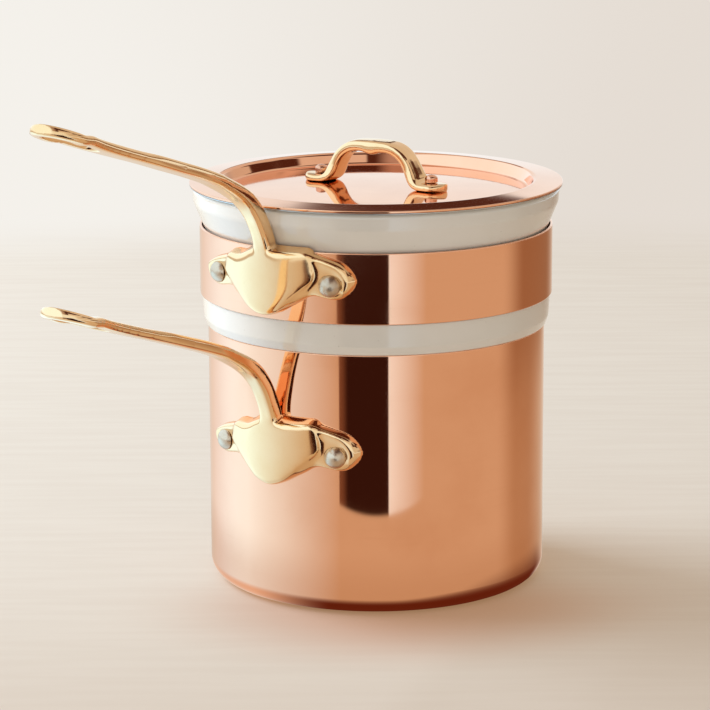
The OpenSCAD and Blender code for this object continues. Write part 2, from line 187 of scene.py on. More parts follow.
class Shader:
    """A node tree that is written as expressions."""

    def __init__(self, tree: bpy.types.NodeTree) -> None:
        """Empty the tree.

        Args:
            tree: the node tree of a material or of the world.
        """
        self.tree = tree
        self.tree.nodes.clear()

    def node(
        self,
        kind: str,
        settings: dict[str, Any] | None = None,
        sockets: dict[str | int, Any] | None = None,
    ) -> Placed:
        """Add any node.

        Args:
            kind: the node's type name.
            settings: the node's own properties, which are set first.
            sockets: values or wires by the input's name or place.

        Returns:
            The node.
        """
        made = self.tree.nodes.new(kind)
        for key, value in (settings or {}).items():
            setattr(made, key, value)
        for key, value in (sockets or {}).items():
            socket = made.inputs[key]
            if isinstance(value, Wire):
                self.tree.links.new(value.socket, socket)
            elif isinstance(value, tuple) and len(value) == 3 and socket.type == "RGBA":
                socket.default_value = (*value, 1.0)
            else:
                socket.default_value = value
        return Placed(self, made)

    def blend(self, share: Any, first: Any, second: Any) -> Wire:
        """A colour between two colours.

        Args:
            share: 0 for the first and 1 for the second.
            first: a colour or a wire.
            second: a colour or a wire.

        Returns:
            The mixed colour.
        """
        settings = {"data_type": "RGBA", "clamp_factor": True}
        return self.node("ShaderNodeMix", settings, {0: share, 6: first, 7: second}).out(2)

    def glow(self, colour: Any) -> Wire:
        """A surface that shines in one colour at strength 1."""
        return self.node("ShaderNodeEmission", None, {"Color": colour, "Strength": 1.0}).out(0)

    def mixed(self, share: Wire, first: Wire, second: Wire) -> Wire:
        """A surface between two, with share 0 for the first and 1 for the second."""
        return self.node("ShaderNodeMixShader", None, {0: share, 1: first, 2: second}).out(0)

    def place(self) -> Wire:
        """The point of the surface in its object's own frame."""
        return self.node("ShaderNodeTexCoord").out("Object")

    def parts(self, vector: Wire) -> tuple[Wire, Wire, Wire]:
        """A vector's three numbers."""
        split = self.node("ShaderNodeSeparateXYZ", None, {0: vector})
        return split.out("X"), split.out("Y"), split.out("Z")

    def vector(self, x: Any, y: Any, z: Any) -> Wire:
        """A vector from three numbers."""
        return self.node("ShaderNodeCombineXYZ", None, {"X": x, "Y": y, "Z": z}).out(0)

    def clouds(self, vector: Wire, scale: float, detail: float = 3.0) -> Wire:
        """Soft noise.

        Args:
            vector: where it is read.
            scale: how many clouds fit in one unit of the vector.
            detail: how many finer layers it has.

        Returns:
            A value about 0.5.
        """
        sockets = {"Vector": vector, "Scale": scale, "Detail": detail}
        return self.node("ShaderNodeTexNoise", None, sockets).out(0)

    def relief(self, height: Wire) -> Wire:
        """A normal from a height in metres."""
        sockets = {"Height": height, "Distance": 1.0, "Strength": 1.0}
        return self.node("ShaderNodeBump", None, sockets).out(0)


class Polish(Enum):
    """How the marks of the last polish lie on a metal."""

    SPUN = "rings round the upright axis, as a lathe leaves them"
    CAST = "fine lines along the bar, as a buffing wheel leaves them"
    HAMMERED = "small flats, as a rivet hammer leaves them"


def new_material(name: str) -> tuple[bpy.types.Material, Shader]:
    """Make an empty material.

    Args:
        name: its name.

    Returns:
        The material and its shader.
    """
    material = bpy.data.materials.new(name)
    material.use_nodes = True
    return material, Shader(material.node_tree)


def close_material(shader: Shader, surface: dict[str | int, Any]) -> None:
    """Add the shader's surface and its output.

    Args:
        shader: the material's shader.
        surface: the sockets of the Principled node.
    """
    bsdf = shader.node("ShaderNodeBsdfPrincipled", None, surface)
    shader.node("ShaderNodeOutputMaterial", None, {"Surface": bsdf.out(0)})


@dataclass(frozen=True)
class Metal:
    """A polished metal and the marks on it.

    Attributes:
        name: the material's name.
        clean: its colour where it is bright.
        tarnish: its colour where it has dulled.
        polish: how the marks lie.
        gloss: roughness where it is bright and where it is dull.
        marks: height of the polishing marks.
        ripple: height of the slow waves in the surface.
    """

    name: str
    clean: Rgb
    tarnish: Rgb
    polish: Polish
    gloss: tuple[float, float]
    marks: float
    ripple: float

    def _marks(self, shader: Shader) -> Wire:
        """The height of the polishing marks, a value about 0.5.

        Args:
            shader: the material's shader.

        Returns:
            The height as a share.
        """
        place = shader.place()
        x, y, z = shader.parts(place)
        if self.polish is Polish.SPUN:
            reach = (x * x + y * y) ** 0.5
            turns, fine_rings, coarse_rings = 2.5, 2600, 700
            east, north, along = x / reach * turns, y / reach * turns, z + reach
            fine = shader.clouds(shader.vector(east, north, along * fine_rings), 1.0, 2.0)
            coarse = shader.clouds(shader.vector(east, north, along * coarse_rings), 1.0, 2.0)
            return fine * 0.35 + coarse * 0.65
        if self.polish is Polish.CAST:
            lines = shader.vector(x * 130, y * 1500, z * 420)
            return shader.clouds(lines, 1.0, 3.0)
        sockets = {"Vector": place, "Scale": 620.0}
        flats = shader.node("ShaderNodeTexVoronoi", {"feature": "SMOOTH_F1"}, sockets)
        return flats.out("Distance") + shader.clouds(place, 2600.0) * 0.3

    def material(self) -> bpy.types.Material:
        """Build the material.

        Returns:
            The finished material.
        """
        material, shader = new_material(self.name)
        place = shader.place()
        marks = self._marks(shader)
        wiped = shader.clouds(place, 24.0, 4.0)
        waves = shader.clouds(place, 26.0, 1.0)
        dull = wiped.ease(0.42, 0.72)
        colour = shader.blend(dull * 0.8 + marks.ease(0.55, 0.8) * 0.2, self.clean, self.tarnish)
        low, high = self.gloss
        rough = low + (dull * 0.7 + marks * 0.3) * (high - low)
        height = marks * self.marks + waves * self.ripple
        close_material(shader, {
            "Base Color": colour,
            "Metallic": 1.0,
            "Roughness": rough,
            "Normal": shader.relief(height),
        })
        return material


@dataclass(frozen=True)
class Porcelain:
    """Glazed white porcelain with a faint orange peel and a few specks.

    Attributes:
        name: the material's name.
        body: the colour of the glaze.
        pooled: its colour where the glaze has pooled.
        peel: height of the glaze's orange peel.
    """

    name: str
    body: Rgb
    pooled: Rgb
    peel: float

    def material(self) -> bpy.types.Material:
        """Build the material.

        Returns:
            The finished material.
        """
        material, shader = new_material(self.name)
        place = shader.place()
        cloudy = shader.clouds(place, 30.0, 3.0)
        specks = shader.clouds(place, 900.0, 1.0).ease(0.76, 0.82)
        glaze = shader.blend(cloudy.ease(0.35, 0.7), self.body, self.pooled)
        colour = shader.blend(specks * 0.35, glaze, (0.45, 0.42, 0.37))
        peel = shader.clouds(place, 140.0, 2.0) * self.peel
        close_material(shader, {
            "Base Color": colour,
            "Roughness": 0.12 + shader.clouds(place, 70.0, 3.0) * 0.12,
            "IOR": 1.5,
            "Coat Weight": 0.6,
            "Coat Roughness": 0.03,
            "Normal": shader.relief(peel),
        })
        return material


@dataclass(frozen=True)
class Cement:
    """The rough cement that beds the hoop on the porcelain.

    Attributes:
        name: the material's name.
        pale: its colour on the grains.
        dark: its colour between them.
    """

    name: str
    pale: Rgb
    dark: Rgb

    def material(self) -> bpy.types.Material:
        """Build the material.

        Returns:
            The finished material.
        """
        material, shader = new_material(self.name)
        grain = shader.clouds(shader.place(), 800.0, 5.0)
        close_material(shader, {
            "Base Color": shader.blend(grain.ease(0.3, 0.7), self.dark, self.pale),
            "Roughness": 0.8 + grain * 0.2,
            "Normal": shader.relief(grain * 0.0003),
        })
        return material


COPPER = Metal("polished_copper", (0.93, 0.5, 0.31), (0.86, 0.43, 0.25), Polish.SPUN,
               (0.035, 0.09), 5.0e-7, 1.2e-5)
LINING = Metal("brushed_lining", (0.66, 0.65, 0.62), (0.56, 0.55, 0.53), Polish.SPUN,
               (0.22, 0.34), 3.0e-6, 4.0e-6)
BRASS = Metal("cast_brass", (0.93, 0.63, 0.355), (0.86, 0.53, 0.25), Polish.CAST,
              (0.06, 0.15), 7.0e-7, 1.5e-5)
PEWTER = Metal("rivet_metal", (0.67, 0.52, 0.38), (0.5, 0.38, 0.27), Polish.HAMMERED,
               (0.26, 0.42), 3.0e-5, 1.5e-5)
RIVET_COPPER = Metal("rivet_copper", (0.86, 0.45, 0.28), (0.68, 0.32, 0.19), Polish.HAMMERED,
                     (0.16, 0.3), 2.0e-5, 1.0e-5)
GLAZE = Porcelain("white_glaze", (0.84, 0.83, 0.79), (0.8, 0.79, 0.74), 6.0e-6)
BEDDING = Cement("bedding_cement", (0.6, 0.58, 0.53), (0.42, 0.4, 0.36))


def rounded(corners: Sequence[Corner], steps: int = 10) -> list[Point]:
    """Round the corners of a closed outline.

    Beside each arc stands one more point, so that the flat stretches shade flat.

    Args:
        corners: radius from the axis, height, and the corner's own radius.
        steps: how many parts an arc is cut into.

    Returns:
        The outline's points.
    """
    count = len(corners)
    outline: list[Point] = []
    for i, (r, z, bend) in enumerate(corners):
        here = Vector((r, z))
        if bend == 0:
            outline.append((r, z))
            continue
        back = (Vector(corners[i - 1][:2]) - here).normalized()
        ahead = (Vector(corners[(i + 1) % count][:2]) - here).normalized()
        half = back.angle(ahead) / 2
        reach = bend / math.tan(half)
        centre = here + (back + ahead).normalized() * (bend / math.sin(half))
        spoke = here + back * reach - centre
        side = 1 if back.x * ahead.y - back.y * ahead.x < 0 else -1
        sweep = side * (math.pi - 2 * half)
        hold = min(0.15 * MM, 0.2 * reach)
        points = [here + back * (reach + hold)]
        for k in range(steps + 1):
            points.append(centre + Matrix.Rotation(sweep * k / steps, 2) @ spoke)
        points.append(here + ahead * (reach + hold))
        outline.extend((p.x, p.y) for p in points)
    return outline


def beside(chain: Sequence[Corner], shift: float) -> list[Corner]:
    """Move an open chain of corners sideways, with its corner radii following.

    Args:
        chain: radius, height and corner radius of each corner.
        shift: distance to the chain's left, negative to its right.

    Returns:
        The moved chain.
    """
    moved = []
    last = len(chain) - 1
    for i, (r, z, bend) in enumerate(chain):
        before, after = Vector(chain[max(i - 1, 0)][:2]), Vector(chain[min(i + 1, last)][:2])
        here = Vector((r, z))
        way_in = (here - before if i else after - here).normalized()
        way_out = (after - here if i < last else way_in).normalized()
        left_in, left_out = Vector((-way_in.y, way_in.x)), Vector((-way_out.y, way_out.x))
        step = (left_in + left_out) / (1 + left_in.dot(left_out))
        turn = way_in.x * way_out.y - way_in.y * way_out.x
        here += step * shift
        moved.append((here.x, here.y, bend - shift * math.copysign(1, turn) if bend else 0.0))
    return moved


def revolve(name: str, outline: Sequence[Point], sides: int = 256) -> bpy.types.Object:
    """Turn a closed outline round the upright axis.

    Args:
        name: the piece's name.
        outline: radius and height of each point, with the first and last on the axis or off it.
        sides: how many parts a turn is cut into.

    Returns:
        The smooth piece.
    """
    vertices: list[Vector] = []
    rings: list[list[int]] = []
    for r, z in outline:
        start = len(vertices)
        if r < 1e-9:
            vertices.append(Vector((0, 0, z)))
            rings.append([start] * sides)
            continue
        for k in range(sides):
            turn = 2 * math.pi * k / sides
            vertices.append(Vector((r * math.cos(turn), r * math.sin(turn), z)))
        rings.append(list(range(start, start + sides)))
    faces = []
    for i, lower in enumerate(rings):
        upper = rings[(i + 1) % len(rings)]
        if lower[0] == lower[1] and upper[0] == upper[1]:
            continue
        for k in range(sides):
            n = (k + 1) % sides
            corners = dict.fromkeys((lower[k], lower[n], upper[n], upper[k]))
            faces.append(tuple(corners))
    return make_piece(name, vertices, faces)


def in_scene(name: str, data: bpy.types.ID) -> bpy.types.Object:
    """Add an object to the scene.

    Args:
        name: its name.
        data: its mesh, lamp or camera.

    Returns:
        The object.
    """
    made = bpy.data.objects.new(name, data)
    bpy.context.scene.collection.objects.link(made)
    return made


def make_piece(
    name: str,
    vertices: Sequence[Vector],
    faces: Sequence[tuple[int, ...]],
) -> bpy.types.Object:
    """Make a smooth mesh object.

    Args:
        name: the piece's name.
        vertices: its corners.
        faces: its faces, as places in the corners.

    Returns:
        The object, in the scene.
    """
    mesh = bpy.data.meshes.new(name)
    mesh.from_pydata([tuple(v) for v in vertices], [], faces)
    mesh.polygons.foreach_set("use_smooth", [True] * len(mesh.polygons))
    mesh.set_sharp_from_angle(angle=math.radians(35))
    mesh.update()
    return in_scene(name, mesh)


def read_places(mesh: bpy.types.Mesh) -> np.ndarray:
    """Read a mesh's vertices.

    Args:
        mesh: the mesh.

    Returns:
        Their places, three numbers in a row.
    """
    places = np.empty(len(mesh.vertices) * 3)
    mesh.vertices.foreach_get("co", places)
    return places.reshape(-1, 3)


def write_places(mesh: bpy.types.Mesh, places: np.ndarray) -> None:
    """Move a mesh's vertices to new places."""
    mesh.vertices.foreach_set("co", places.ravel())
    mesh.update()


def edge_ends(mesh: bpy.types.Mesh) -> np.ndarray:
    """Read a mesh's edges.

    Args:
        mesh: the mesh.

    Returns:
        The two vertices of each edge, in a row.
    """
    ends = np.empty(len(mesh.edges) * 2, dtype=np.int64)
    mesh.edges.foreach_get("vertices", ends)
    return ends.reshape(-1, 2)


class Web:
    """The neighbours of a mesh's vertices along its edges."""

    def __init__(self, ends: np.ndarray, count: int) -> None:
        """Lay the neighbours out.

        Args:
            ends: the two vertices of each edge.
            count: how many vertices the mesh has.
        """
        self.count = count
        self.first = np.concatenate([ends[:, 0], ends[:, 1]])
        self.second = np.concatenate([ends[:, 1], ends[:, 0]])
        self.around = np.maximum(np.bincount(self.first, minlength=count), 1)[:, None]

    def lag(self, places: np.ndarray) -> np.ndarray:
        """The way from each vertex to the middle of its neighbours."""
        sums = [np.bincount(self.first, places[self.second, k], self.count) for k in range(3)]
        return np.stack(sums, 1) / self.around - places


def eased(mesh: bpy.types.Mesh, passes: int) -> None:
    """Ease a mesh's facets and edges without shrinking it.

    Args:
        mesh: the mesh, with faces of even size.
        passes: how often it is eased.
    """
    inward, outward = 0.52, -0.54
    places = read_places(mesh)
    web = Web(edge_ends(mesh), len(places))
    for step in range(2 * passes):
        pull = inward if step % 2 == 0 else outward
        places += pull * web.lag(places)
    write_places(mesh, places)


def relaxed(mesh: bpy.types.Mesh, passes: int, share: np.ndarray) -> None:
    """Round a mesh off, more where its share is high.

    Args:
        mesh: the mesh, with faces of even size.
        passes: how often each vertex moves towards its neighbours.
        share: how far each vertex follows, from 0 to 1.
    """
    places = read_places(mesh)
    ends = edge_ends(mesh)
    web = Web(ends[(share[ends] > 0).any(axis=1)], len(places))
    for _ in range(passes):
        places += 0.5 * share[:, None] * web.lag(places)
    write_places(mesh, places)


def smooth_step(values: np.ndarray, low: float, high: float) -> np.ndarray:
    """Ease values from 0 at low to 1 at high.

    Args:
        values: the values.
        low: the value that gives 0.
        high: the value that gives 1, which may be the smaller one.

    Returns:
        The eased values.
    """
    t = np.clip((values - low) / (high - low), 0, 1)
    return t * t * (3 - 2 * t)


def applied(source: bpy.types.Object, name: str) -> bpy.types.Object:
    """Turn an object and its modifiers into a plain piece, and drop the source.

    Args:
        source: the object with its modifiers.
        name: the new piece's name.

    Returns:
        The piece.
    """
    graph = bpy.context.evaluated_depsgraph_get()
    mesh = bpy.data.meshes.new_from_object(source.evaluated_get(graph))
    mesh.name = name
    mesh.materials.clear()
    mesh.polygons.foreach_set("use_smooth", [True] * len(mesh.polygons))
    made = in_scene(name, mesh)
    bpy.data.objects.remove(source)
    return made


def softened(node: str, name: str, grid: float, passes: int) -> bpy.types.Object:
    """Make a casting's soft form from its hard-edged solid.

    Args:
        node: the solid's name in the frame.
        name: the piece's name.
        grid: the size of the new faces.
        passes: how often the edges are eased.

    Returns:
        The piece.
    """
    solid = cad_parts[node]
    copy = in_scene(name + "_solid", solid.data.copy())
    remesh = copy.modifiers.new("grid", "REMESH")
    remesh.mode = "VOXEL"
    remesh.voxel_size = grid
    remesh.adaptivity = 0
    piece = applied(copy, name)
    eased(piece.data, passes)
    return piece


def dented(piece: bpy.types.Object, depth: float, spacing: float) -> None:
    """Press shallow dents into a piece.

    Args:
        piece: the piece.
        depth: how deep the dents are.
        spacing: how far apart they lie.
    """
    for vertex in piece.data.vertices:
        normal = vertex.normal.copy()
        vertex.co -= normal * depth * (0.5 + 0.5 * noise.noise(vertex.co / spacing))
    piece.data.update()


@dataclass(frozen=True)
class Bracket:
    """How a long handle's bracket is shaped beyond its solid.

    A span gives the place where a change is nothing and the place where it is full. Places
    named up are counted from the rivets, out from the lobes.

    Attributes:
        lobe: height of the rivet lobes over the wall.
        boss: height of the boss over the wall.
        solid_bow: length that bows the solid's boss, which falls by the square of the width.
        bow: the shorter length that bows the boss here.
        half: half of the width that is bowed.
        bow_up: where the bow starts.
        drop: how far the left shoulder comes down, across, up and out within three spans.
        stem_across: widths of the stem's foot, which keeps its form.
        stem_up: where the stem leaves the boss.
        skin: distances from the wall over which the casting is soft.
        soft_up: where it is soft.
        by_rivet: distances from a rivet at which it is half and wholly soft.
        passes: how often the bracket is rounded off.
        grip_out: where the grip starts.
        grip_passes: how often the grip is rounded off.
        seat: play between the casting and the wall.
    """

    lobe: float = 4 * MM
    boss: float = 6.4 * MM
    solid_bow: float = 280 * MM
    bow: float = 76 * MM
    half: float = 22 * MM
    bow_up: Span = (15 * MM, 10 * MM)
    drop: float = 3.2 * MM
    drop_across: Span = (4 * MM, 12 * MM)
    drop_up: Span = (1 * MM, 8 * MM)
    drop_out: Span = (14 * MM, 10 * MM)
    stem_across: Span = (7 * MM, 4.5 * MM)
    stem_up: Span = (8 * MM, 14 * MM)
    skin: Span = (1 * MM, 2.6 * MM)
    soft_up: Span = (20 * MM, 16 * MM)
    by_rivet: Span = (4.5 * MM, 7 * MM)
    passes: int = 100
    grip_out: Span = (60 * MM, 70 * MM)
    grip_passes: int = 25
    seat: float = 0.03 * MM

    def bend(self, places: np.ndarray, up: np.ndarray, wall_r: float, left: float) -> np.ndarray:
        """Bow the boss and bring its left shoulder down.

        Args:
            places: the vertices, which are moved.
            up: their heights over the rivets.
            wall_r: the wall's radius.
            left: the sign of the left side's Y.

        Returns:
            How far each vertex stood out from the lobes.
        """
        across = places[:, 1]
        lobe = np.sqrt(np.maximum((wall_r + self.lobe) ** 2 - across ** 2, 0))
        raised = -places[:, 0] - lobe
        face = wall_r + self.boss - across ** 2 / self.solid_bow - lobe
        bowed = wall_r + self.boss - across ** 2 / self.bow - lobe
        fade = smooth_step(up, *self.bow_up)
        held = np.where((raised > 0) & (np.abs(across) < self.half), fade, 0)
        slack = np.clip(bowed / np.maximum(face, 0.1 * MM), 0.1, 1)
        places[:, 0] -= raised * (slack - 1) * held
        slope = smooth_step(across * left, *self.drop_across) * smooth_step(up, *self.drop_up)
        places[:, 2] -= self.drop * slope * smooth_step(raised, *self.drop_out)
        return raised

    def softness(self, places: np.ndarray, up: np.ndarray, wall_r: float,
                 aside: float) -> np.ndarray:
        """How far each vertex is rounded off.

        Args:
            places: the vertices.
            up: their heights over the rivets.
            wall_r: the wall's radius.
            aside: the rivets' distance from the middle.

        Returns:
            A share from 0 to 1.
        """
        width = np.abs(places[:, 1])
        reach = np.hypot(places[:, 0], places[:, 1]) - wall_r
        stem = smooth_step(width, *self.stem_across) * smooth_step(up, *self.stem_up)
        share = smooth_step(reach, *self.skin) * smooth_step(up, *self.soft_up) * (1 - stem)
        from_rivet = np.hypot(width - aside, up)
        return share * (0.5 + 0.5 * smooth_step(from_rivet, *self.by_rivet))

    def sculpt(self, mesh: bpy.types.Mesh, wall_r: float, rivet: Vector) -> None:
        """Bow a bracket's boss, round the casting off and bed it on the wall.

        Args:
            mesh: the handle's mesh.
            wall_r: the wall's radius.
            rivet: the middle of the left rivet.
        """
        places = read_places(mesh)
        up = places[:, 2] - rivet.z
        raised = self.bend(places, up, wall_r, math.copysign(1, rivet.y))
        write_places(mesh, places)
        relaxed(mesh, self.passes, self.softness(places, up, wall_r, abs(rivet.y)))
        relaxed(mesh, self.grip_passes, smooth_step(raised, *self.grip_out))
        places = read_places(mesh)
        reach = np.hypot(places[:, 0], places[:, 1])
        places[:, :2] *= np.maximum((wall_r + self.seat) / reach, 1)[:, None]
        write_places(mesh, places)


@dataclass
class Assembly:
    """A sub-assembly that rides on one body of the frame.

    Attributes:
        body: the body's name.
        looks: materials already built, by finish.
    """

    body: str
    looks: dict[Any, bpy.types.Material] = field(default_factory=dict)

    def dress(self, piece: bpy.types.Object, finish: Any, slot: str, *nodes: str) -> None:
        """Give a piece its material, its body and the nodes that it stands for.

        Args:
            piece: the piece.
            finish: its finish.
            slot: not used.
            nodes: the nodes that it replaces.
        """
        if finish not in self.looks:
            self.looks[finish] = finish.material()
        piece.data.materials.clear()
        piece.data.materials.append(self.looks[finish])
        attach(piece, self.body)
        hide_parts(*nodes)
        LOG.info("%s stands for %s on %s", piece.name, ", ".join(nodes), self.body)

    def rivet(self, node: str, finish: Metal, slot: str) -> None:
        """Build one rivet with its hammered head.

        Args:
            node: the rivet's node.
            finish: its metal.
            slot: the material slot's name, handed on to dress.
        """
        piece = softened(node, node + "_hammered", 0.16 * MM, 6)
        dented(piece, 0.12 * MM, 1.6 * MM)
        self.dress(piece, finish, slot, node)

    def casting(self, node: str, grid: float, passes: int) -> bpy.types.Object:
        """Build one cast brass handle.

        Args:
            node: the handle's node.
            grid: the size of its faces.
            passes: how often its edges are eased.

        Returns:
            The piece.
        """
        piece = softened(node, node + "_cast", grid, passes)
        self.dress(piece, BRASS, "brass", node)
        return piece

    def long_handle(self, node: str, wall: str) -> None:
        """Build one long handle, with its bracket bedded on the wall.

        Args:
            node: the handle's node.
            wall: the node of the round wall that it lies on.
        """
        piece = self.casting(node, 0.35 * MM, 14)
        rivet_low, rivet_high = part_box(node.replace("handle", "rivet_left"))
        Bracket().sculpt(piece.data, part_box(wall)[1].x, (rivet_low + rivet_high) / 2)


@dataclass
class Pot(Assembly):
    """The copper saucepan with its lining, handle and rivets.

    Attributes:
        copper: thickness of the copper.
        lining: thickness of the lining.
        corner: outside radius between wall and base.
    """

    copper: float = 1.7 * MM
    lining: float = 0.3 * MM
    corner: float = 7 * MM

    def build(self) -> None:
        """Build every piece of the pot."""
        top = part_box("pot_shell")[1]
        self.shell(top.x, top.z)
        self.liner(top.x, top.z)
        self.long_handle("pot_handle", "pot_shell")
        for side in ("left", "right"):
            self.rivet(f"pot_rivet_{side}", PEWTER, "rivet_steel")

    def shell(self, r: float, h: float) -> None:
        """Build the copper wall and base.

        Args:
            r: outer radius.
            h: height.
        """
        t = self.copper
        edge = 0.35 * MM
        outline = rounded([
            (0, 0, 0),
            (r, 0, self.corner),
            (r, h, edge),
            (r - t, h, 0),
            (r - t, t, self.corner - t),
            (0, t, 0),
        ])
        self.dress(revolve("pot_wall", outline), COPPER, "copper", "pot_shell")

    def liner(self, r: float, h: float) -> None:
        """Build the lining.

        Args:
            r: outer radius of the pot.
            h: height of the pot.
        """
        gap = 0.03 * MM
        out = r - self.copper - gap
        inner = r - self.copper - self.lining
        low = self.copper + gap
        floor = self.copper + self.lining
        bend = self.corner - self.copper
        outline = rounded([
            (0, low, 0),
            (out, low, bend),
            (out, h, 0),
            (inner, h, 0),
            (inner, floor, bend - self.lining),
            (0, floor, 0),
        ])
        self.dress(revolve("pot_lining_spun", outline), LINING, "stainless", "pot_lining")


@dataclass
class Insert(Assembly):
    """The porcelain vessel in its copper hoop, with the hoop's handle and rivets.

    Attributes:
        wall: thickness of the porcelain.
        play: clearance between its body and the pot's lining.
        waist: depth of the waist under the hoop.
        flare: height over which the flare leaves the waist.
        bead: how far the rim reaches in past the wall.
        foot: radius between its wall and its base.
        taper: how far the wall draws in towards the base.
        hoop: thickness of the copper hoop.
    """

    wall: float = 3.8 * MM
    play: float = 2.3 * MM
    waist: float = 2.2 * MM
    flare: float = 4.5 * MM
    bead: float = 2 * MM
    foot: float = 14 * MM
    taper: float = 1.5 * MM
    hoop: float = 0.9 * MM

    def build(self) -> None:
        """Build every piece of the insert."""
        self.vessel()
        self.copper_hoop()
        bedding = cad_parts["band_bedding"]
        bedding.data.materials.clear()
        bedding.data.materials.append(BEDDING.material())
        self.long_handle("band_handle", "band")
        for side in ("left", "right"):
            self.rivet(f"band_rivet_{side}", PEWTER, "rivet_steel")

    def vessel(self) -> None:
        """Build the porcelain."""
        low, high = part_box("insert")
        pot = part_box("pot_shell")[1]
        hoop_low, hoop_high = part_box("band")
        lining_wall = 0.27 * MM
        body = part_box("pot_lining")[1].x - lining_wall - self.play
        shoulder = pot.x + 2 * MM
        waist = shoulder - self.waist
        inner = body - self.wall
        waist_in = waist - self.wall
        rim = high.x
        rim_in = rim - self.wall - self.bead
        band, band_top = hoop_low.z, hoop_high.z
        outline = rounded([
            (0, low.z, 0),
            (body - self.taper, low.z, self.foot),
            (body, pot.z, 0.6 * MM),
            (pot.x + 0.5 * MM, pot.z, 1 * MM),
            (shoulder - 0.4 * MM, pot.z + 3.2 * MM, 3 * MM),
            (shoulder, band, 0.5 * MM),
            (waist, band, 0.6 * MM),
            (waist, band_top - self.flare, 4 * MM),
            (shoulder - 0.9 * MM, band_top - 0.6 * MM, 8 * MM),
            (rim - 0.4 * MM, band_top + 8.6 * MM, 6 * MM),
            (rim, high.z, 1.8 * MM),
            (rim_in, high.z, 1.8 * MM),
            (rim_in - 0.6 * MM, band_top + 5 * MM, 6 * MM),
            (waist_in, band_top - 2.5 * MM, 6 * MM),
            (waist_in, band - 3 * MM, 6 * MM),
            (inner, pot.z - 2 * MM, 6 * MM),
            (inner - self.taper, low.z + self.wall, self.foot - self.wall),
            (0, low.z + self.wall, 0),
        ])
        self.dress(revolve("porcelain_vessel", outline), GLAZE, "porcelain", "insert")

    def copper_hoop(self) -> None:
        """Build the hoop."""
        low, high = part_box("band")
        out = high.x
        inner = out - self.hoop
        edge = 0.3 * MM
        outline = rounded([
            (out, low.z, edge),
            (out, high.z, edge),
            (inner, high.z, edge),
            (inner, low.z, edge),
        ])
        self.dress(revolve("copper_hoop", outline), COPPER, "copper", "band")


@dataclass
class Lid(Assembly):
    """The copper lid with its lining, arch handle and rivets.

    Attributes:
        copper: thickness of the copper.
        lining: thickness of the lining.
        flange: width of the sloped flange.
        drop: fall of the flange from its crest to its edge.
        recess: depth of the recess wall's foot below the crest.
        lean: how far the recess wall leans in.
        dome: rise of the centre above the recess wall's foot.
        fillet: radius between the recess wall and the centre.
        crest: radius of the crest.
    """

    copper: float = 0.9 * MM
    lining: float = 0.3 * MM
    flange: float = 10.5 * MM
    drop: float = 0.9 * MM
    recess: float = 4.5 * MM
    lean: float = 1.9 * MM
    dome: float = 1.7 * MM
    fillet: float = 1.2 * MM
    crest: float = 1.6 * MM

    def build(self) -> None:
        """Build every piece of the lid."""
        self.sheet("lid_spun", 0, self.copper, COPPER, "copper", "lid_shell")
        self.sheet("lid_lining_spun", self.copper + 0.03 * MM, self.copper + self.lining,
                   LINING, "stainless", "lid_lining")
        self.casting("lid_handle", 0.25 * MM, 14)
        for side in ("left", "right"):
            self.rivet(f"lid_rivet_{side}", RIVET_COPPER, "rivet_copper")

    def face(self) -> list[Corner]:
        """Lay out the upper face from the axis out.

        Returns:
            The corners as radius, height and corner radius.
        """
        rings = 24
        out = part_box("lid_shell")[1].x
        sheet = self.copper + self.lining
        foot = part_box("lid_lining")[0].z + sheet
        disc = out - self.flange - self.lean
        face = [(disc * i / rings, foot + self.dome * (1 - (i / rings) ** 2), 0.0)
                for i in range(rings)]
        face.append((disc, foot, self.fillet))
        face.append((out - self.flange, foot + self.recess, self.crest))
        face.append((out, foot + self.recess - self.drop, 0.0))
        return face

    def sheet(self, name: str, above: float, below: float, finish: Metal, slot: str,
              node: str) -> None:
        """Build one layer of the lid.

        Args:
            name: the piece's name.
            above: depth of its upper face under the lid's face.
            below: depth of its lower face under the lid's face.
            finish: its metal.
            slot: the material slot's name, handed on to dress.
            node: the node that it replaces.
        """
        edge = 0.3 * MM if above == 0 else 0.05 * MM
        upper = beside(self.face(), -above)
        lower = beside(self.face(), -below)
        upper[-1] = (*upper[-1][:2], edge)
        lower[-1] = (*lower[-1][:2], edge)
        upper[0], lower[0] = (0.0, *upper[0][1:]), (0.0, *lower[0][1:])
        self.dress(revolve(name, rounded(upper + lower[::-1])), finish, slot, node)


